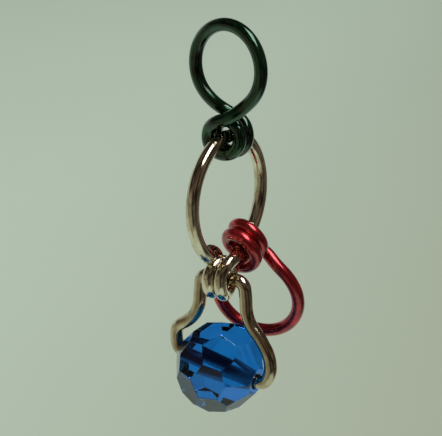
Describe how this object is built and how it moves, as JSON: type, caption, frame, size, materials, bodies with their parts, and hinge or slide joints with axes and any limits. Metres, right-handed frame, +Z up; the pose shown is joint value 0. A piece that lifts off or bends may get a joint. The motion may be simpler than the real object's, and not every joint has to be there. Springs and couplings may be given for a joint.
{
  "type": "dangling stitch marker",
  "caption": "Dangling knitting stitch marker: wire rings with coiled necks linked in a short chain, ending in a faceted glass bead on a bent wire hanger.",
  "frame": {"origin": "centre of the needle ring's loop, where the knitting needle's axis passes", "axes": "+X along the axis of the needle ring's loop, +Z up, with the chain hanging down along -Z"},
  "size_m": [0.0135, 0.0113, 0.0364],
  "materials": {
    "green_enamel": "dark green enamelled wire, glossy",
    "silver_wire": "bright drawn silver-coloured wire",
    "red_enamel": "metallic crimson enamelled wire, glossy",
    "hanger_wire": "bright drawn silver-coloured wire",
    "blue_glass": "transparent sapphire-blue glass with polished flat facets"
  },
  "bodies": {
    "needle_ring": {"needle_ring": "green_enamel"},
    "middle_ring": {"middle_ring": "silver_wire"},
    "side_ring": {"side_ring": "red_enamel"},
    "bead_hanger": {"bead_hanger": "hanger_wire"},
    "bead": {"bead": "blue_glass"}
  },
  "joints": [
    {"name": "middle_ring_swing", "type": "hinge", "parent": "needle_ring", "child": "middle_ring", "pos_m": [0, 0, -0.0062], "axis": [0.9903, 0.1392, 0], "range_deg": [-70, 70]},
    {"name": "side_ring_swing", "type": "hinge", "parent": "middle_ring", "child": "side_ring", "pos_m": [0.0029, 0.00041, -0.01674], "axis": [0.8537, 0.12, 0.5068], "range_deg": [-60, 25]},
    {"name": "hanger_swing", "type": "hinge", "parent": "middle_ring", "child": "bead_hanger", "pos_m": [-0.00011, 0.00079, -0.01936], "axis": [-0.1392, 0.9903, 0], "range_deg": [-10, 80]},
    {"name": "bead_spin", "type": "hinge", "parent": "bead_hanger", "child": "bead", "pos_m": [-0.00011, 0.00079, -0.02796], "axis": [-0.1373, 0.9767, 0.165], "continuous": true}
  ]
}
